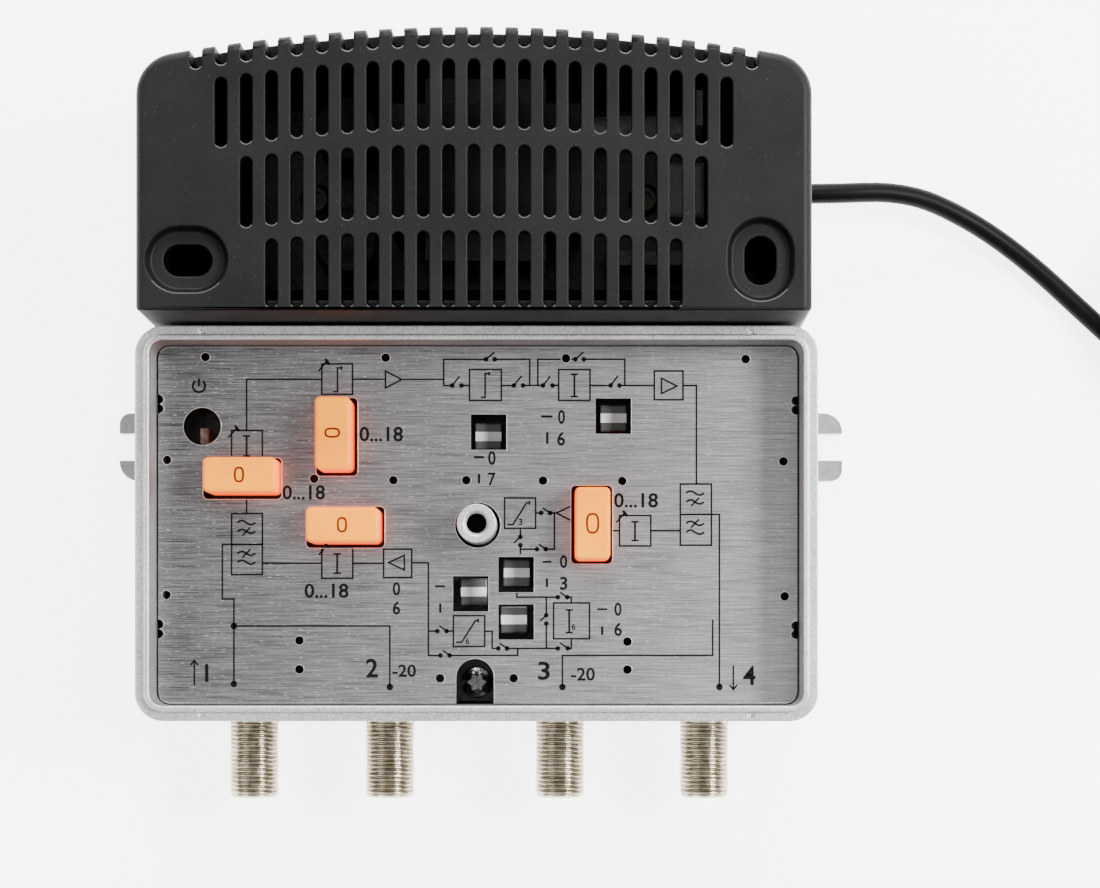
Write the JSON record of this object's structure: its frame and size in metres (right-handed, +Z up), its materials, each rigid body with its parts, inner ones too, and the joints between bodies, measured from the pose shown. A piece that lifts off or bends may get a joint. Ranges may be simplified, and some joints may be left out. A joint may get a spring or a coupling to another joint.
{
  "type": "tv signal amplifier",
  "caption": "Aerial and cable TV distribution amplifier, lid off: cast tray, face plate with pull-off jumpers and pads, threaded coaxial ports, slotted power housing and mains cord.",
  "frame": {"origin": "middle of the footprint on the back face, the cord left out", "axes": "+X along the connector row, +Y from the connectors to the power housing, +Z up from the back face"},
  "size_m": [0.2489, 0.1676, 0.054],
  "materials": {
    "cast_aluminium": "bead-blasted casting",
    "plate_aluminium": "brushed along X",
    "board_green": "lacquered laminate",
    "tin_plate": "tinned sheet",
    "black_screw": "black oxide, glossy",
    "zinc_screw": "zinc plated",
    "black_plastic": "moulded, fine texture",
    "jumper_black": "moulded, smooth",
    "pad_orange": "moulded, satin gloss",
    "nickel": "nickel plated brass",
    "insulator_white": "smooth",
    "contact_gold": "gold flashed",
    "can_metal": "drawn",
    "chip_grey": "moulded",
    "lamp_brown": "clear tinted",
    "core_steel": "varnished laminations",
    "bobbin_white": "moulded",
    "winding_tape": "tape over copper wire",
    "fuse_glass": "clear",
    "hook_grey": "moulded",
    "cord_black": "satin sheath",
    "tie_black": "moulded strap"
  },
  "bodies": {
    "amplifier": {"tray": "cast_aluminium", "face_plate": "plate_aluminium", "main_board": "board_green", "screening_frame": "tin_plate", "board_screws": "black_screw", "jumper_headers": "black_plastic", "header_pins": "contact_gold", "pad_sockets": "black_plastic", "filter_cans": "can_metal", "amplifier_modules": "chip_grey", "board_capacitors": "can_metal", "chip_parts": "chip_grey", "power_led": "lamp_brown", "connector_barrels": "nickel", "connector_insulators": "insulator_white", "connector_contacts": "contact_gold", "power_cover": "black_plastic", "power_base": "black_plastic", "housing_screws": "zinc_screw", "joining_screws": "zinc_screw", "power_screws": "zinc_screw", "power_board": "board_green", "transformer_core": "core_steel", "transformer_bobbin": "bobbin_white", "transformer_winding": "winding_tape", "power_capacitors": "can_metal", "rectifier": "chip_grey", "fuse": "fuse_glass", "fuse_clips": "tin_plate", "terminal_block": "hook_grey", "wire_hook": "hook_grey", "supply_lead": "cord_black", "lead_grommet": "cord_black", "cord_clamp": "black_plastic", "mains_cord": "cord_black", "cord_coil": "cord_black", "plug_tail": "cord_black", "plug_body": "cord_black", "plug_pins": "nickel", "pin_sleeves": "cord_black", "cord_tie": "tie_black"},
    "jumper_1": {"jumper_1_cap": "jumper_black", "jumper_1_clips": "contact_gold"},
    "jumper_2": {"jumper_2_cap": "jumper_black", "jumper_2_clips": "contact_gold"},
    "jumper_3": {"jumper_3_cap": "jumper_black", "jumper_3_clips": "contact_gold"},
    "jumper_4": {"jumper_4_cap": "jumper_black", "jumper_4_clips": "contact_gold"},
    "jumper_5": {"jumper_5_cap": "jumper_black", "jumper_5_clips": "contact_gold"},
    "pad_1": {"pad_1_case": "pad_orange", "pad_1_pins": "contact_gold"},
    "pad_2": {"pad_2_case": "pad_orange", "pad_2_pins": "contact_gold"},
    "pad_3": {"pad_3_case": "pad_orange", "pad_3_pins": "contact_gold"},
    "pad_4": {"pad_4_case": "pad_orange", "pad_4_pins": "contact_gold"}
  },
  "joints": [
    {"name": "jumper_1_pull", "type": "slide", "parent": "amplifier", "child": "jumper_1", "axis": [0, 0, 1], "range_m": [0, 0.01]},
    {"name": "jumper_2_pull", "type": "slide", "parent": "amplifier", "child": "jumper_2", "axis": [0, 0, 1], "range_m": [0, 0.01]},
    {"name": "jumper_3_pull", "type": "slide", "parent": "amplifier", "child": "jumper_3", "axis": [0, 0, 1], "range_m": [0, 0.01]},
    {"name": "jumper_4_pull", "type": "slide", "parent": "amplifier", "child": "jumper_4", "axis": [0, 0, 1], "range_m": [0, 0.01]},
    {"name": "jumper_5_pull", "type": "slide", "parent": "amplifier", "child": "jumper_5", "axis": [0, 0, 1], "range_m": [0, 0.01]},
    {"name": "pad_1_pull", "type": "slide", "parent": "amplifier", "child": "pad_1", "axis": [0, 0, 1], "range_m": [0, 0.012]},
    {"name": "pad_2_pull", "type": "slide", "parent": "amplifier", "child": "pad_2", "axis": [0, 0, 1], "range_m": [0, 0.012]},
    {"name": "pad_3_pull", "type": "slide", "parent": "amplifier", "child": "pad_3", "axis": [0, 0, 1], "range_m": [0, 0.012]},
    {"name": "pad_4_pull", "type": "slide", "parent": "amplifier", "child": "pad_4", "axis": [0, 0, 1], "range_m": [0, 0.012]}
  ]
}
